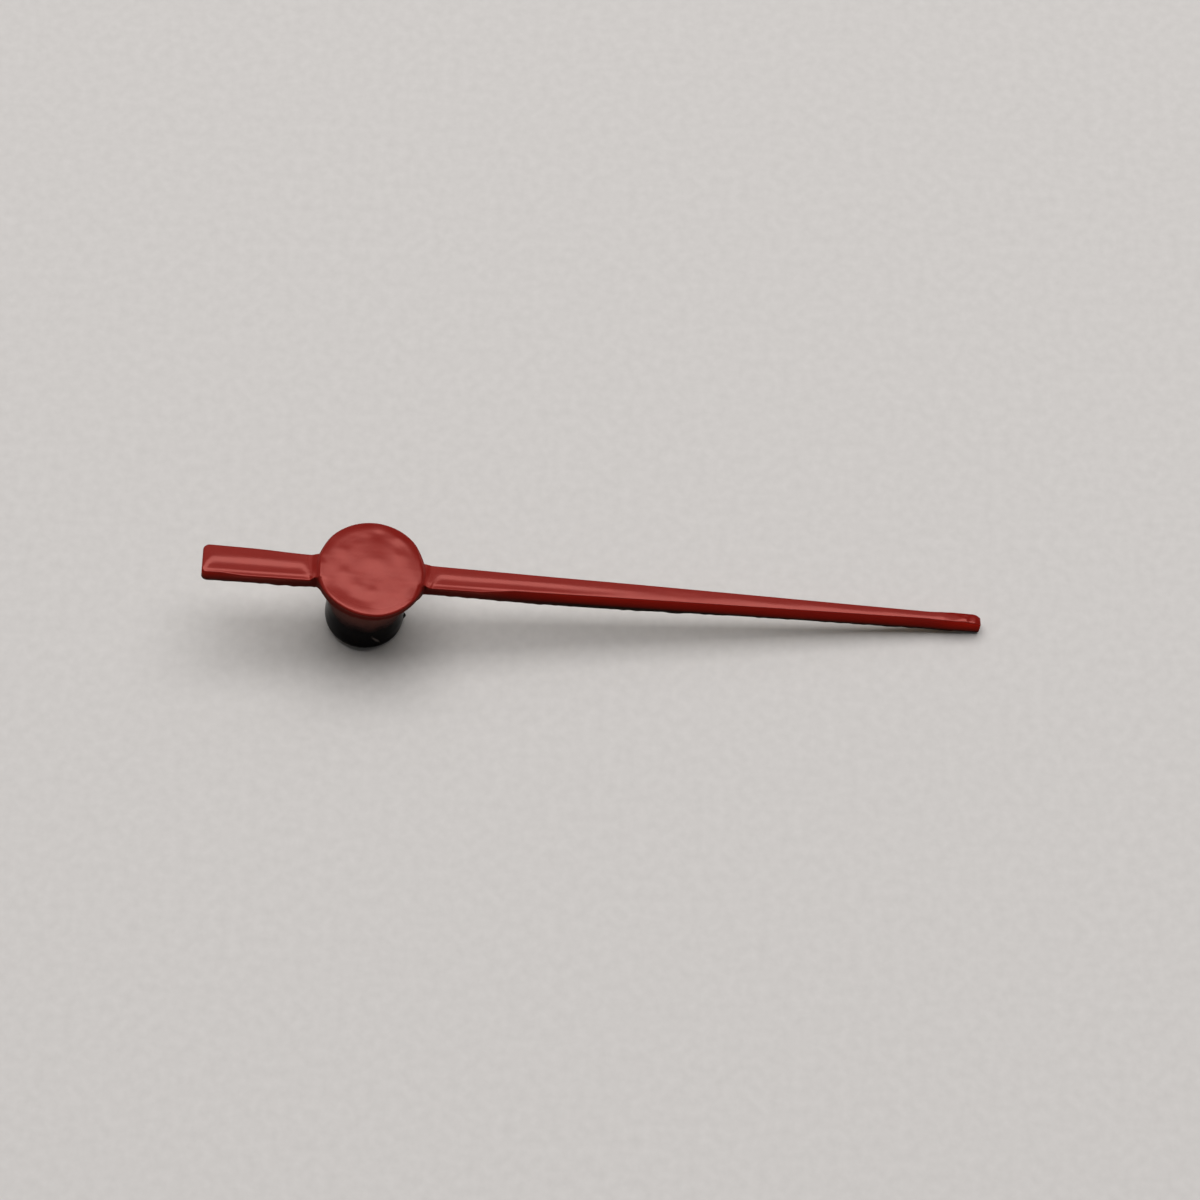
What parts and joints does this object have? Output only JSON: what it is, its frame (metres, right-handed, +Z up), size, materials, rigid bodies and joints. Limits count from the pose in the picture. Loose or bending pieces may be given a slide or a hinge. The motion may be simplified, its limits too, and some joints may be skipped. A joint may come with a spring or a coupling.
{
  "type": "watch hour counter hand",
  "caption": "Small lacquered watch hand with a long tapering needle, a closed round boss, a counterweight tail and a short pipe with a blind bore that presses on the arbor.",
  "frame": {"origin": "centre of the pipe's lower end, on the axis of its bore", "axes": "+Z up the bore's axis towards the lacquered face, +X along the needle to its tip, +Y across the hand"},
  "size_m": [0.006, 0.0008, 0.0007],
  "materials": {
    "stamped_brass": "bare stamped sheet, fine rolled grain",
    "blackened_pipe": "turned and blackened, glossy",
    "red_lacquer": "brushed-on deep red lacquer, glossy, with a fat edge and a sunk middle"
  },
  "bodies": {
    "root": {"blade": "stamped_brass", "pipe": "blackened_pipe", "lacquer": "red_lacquer"}
  },
  "joints": []
}
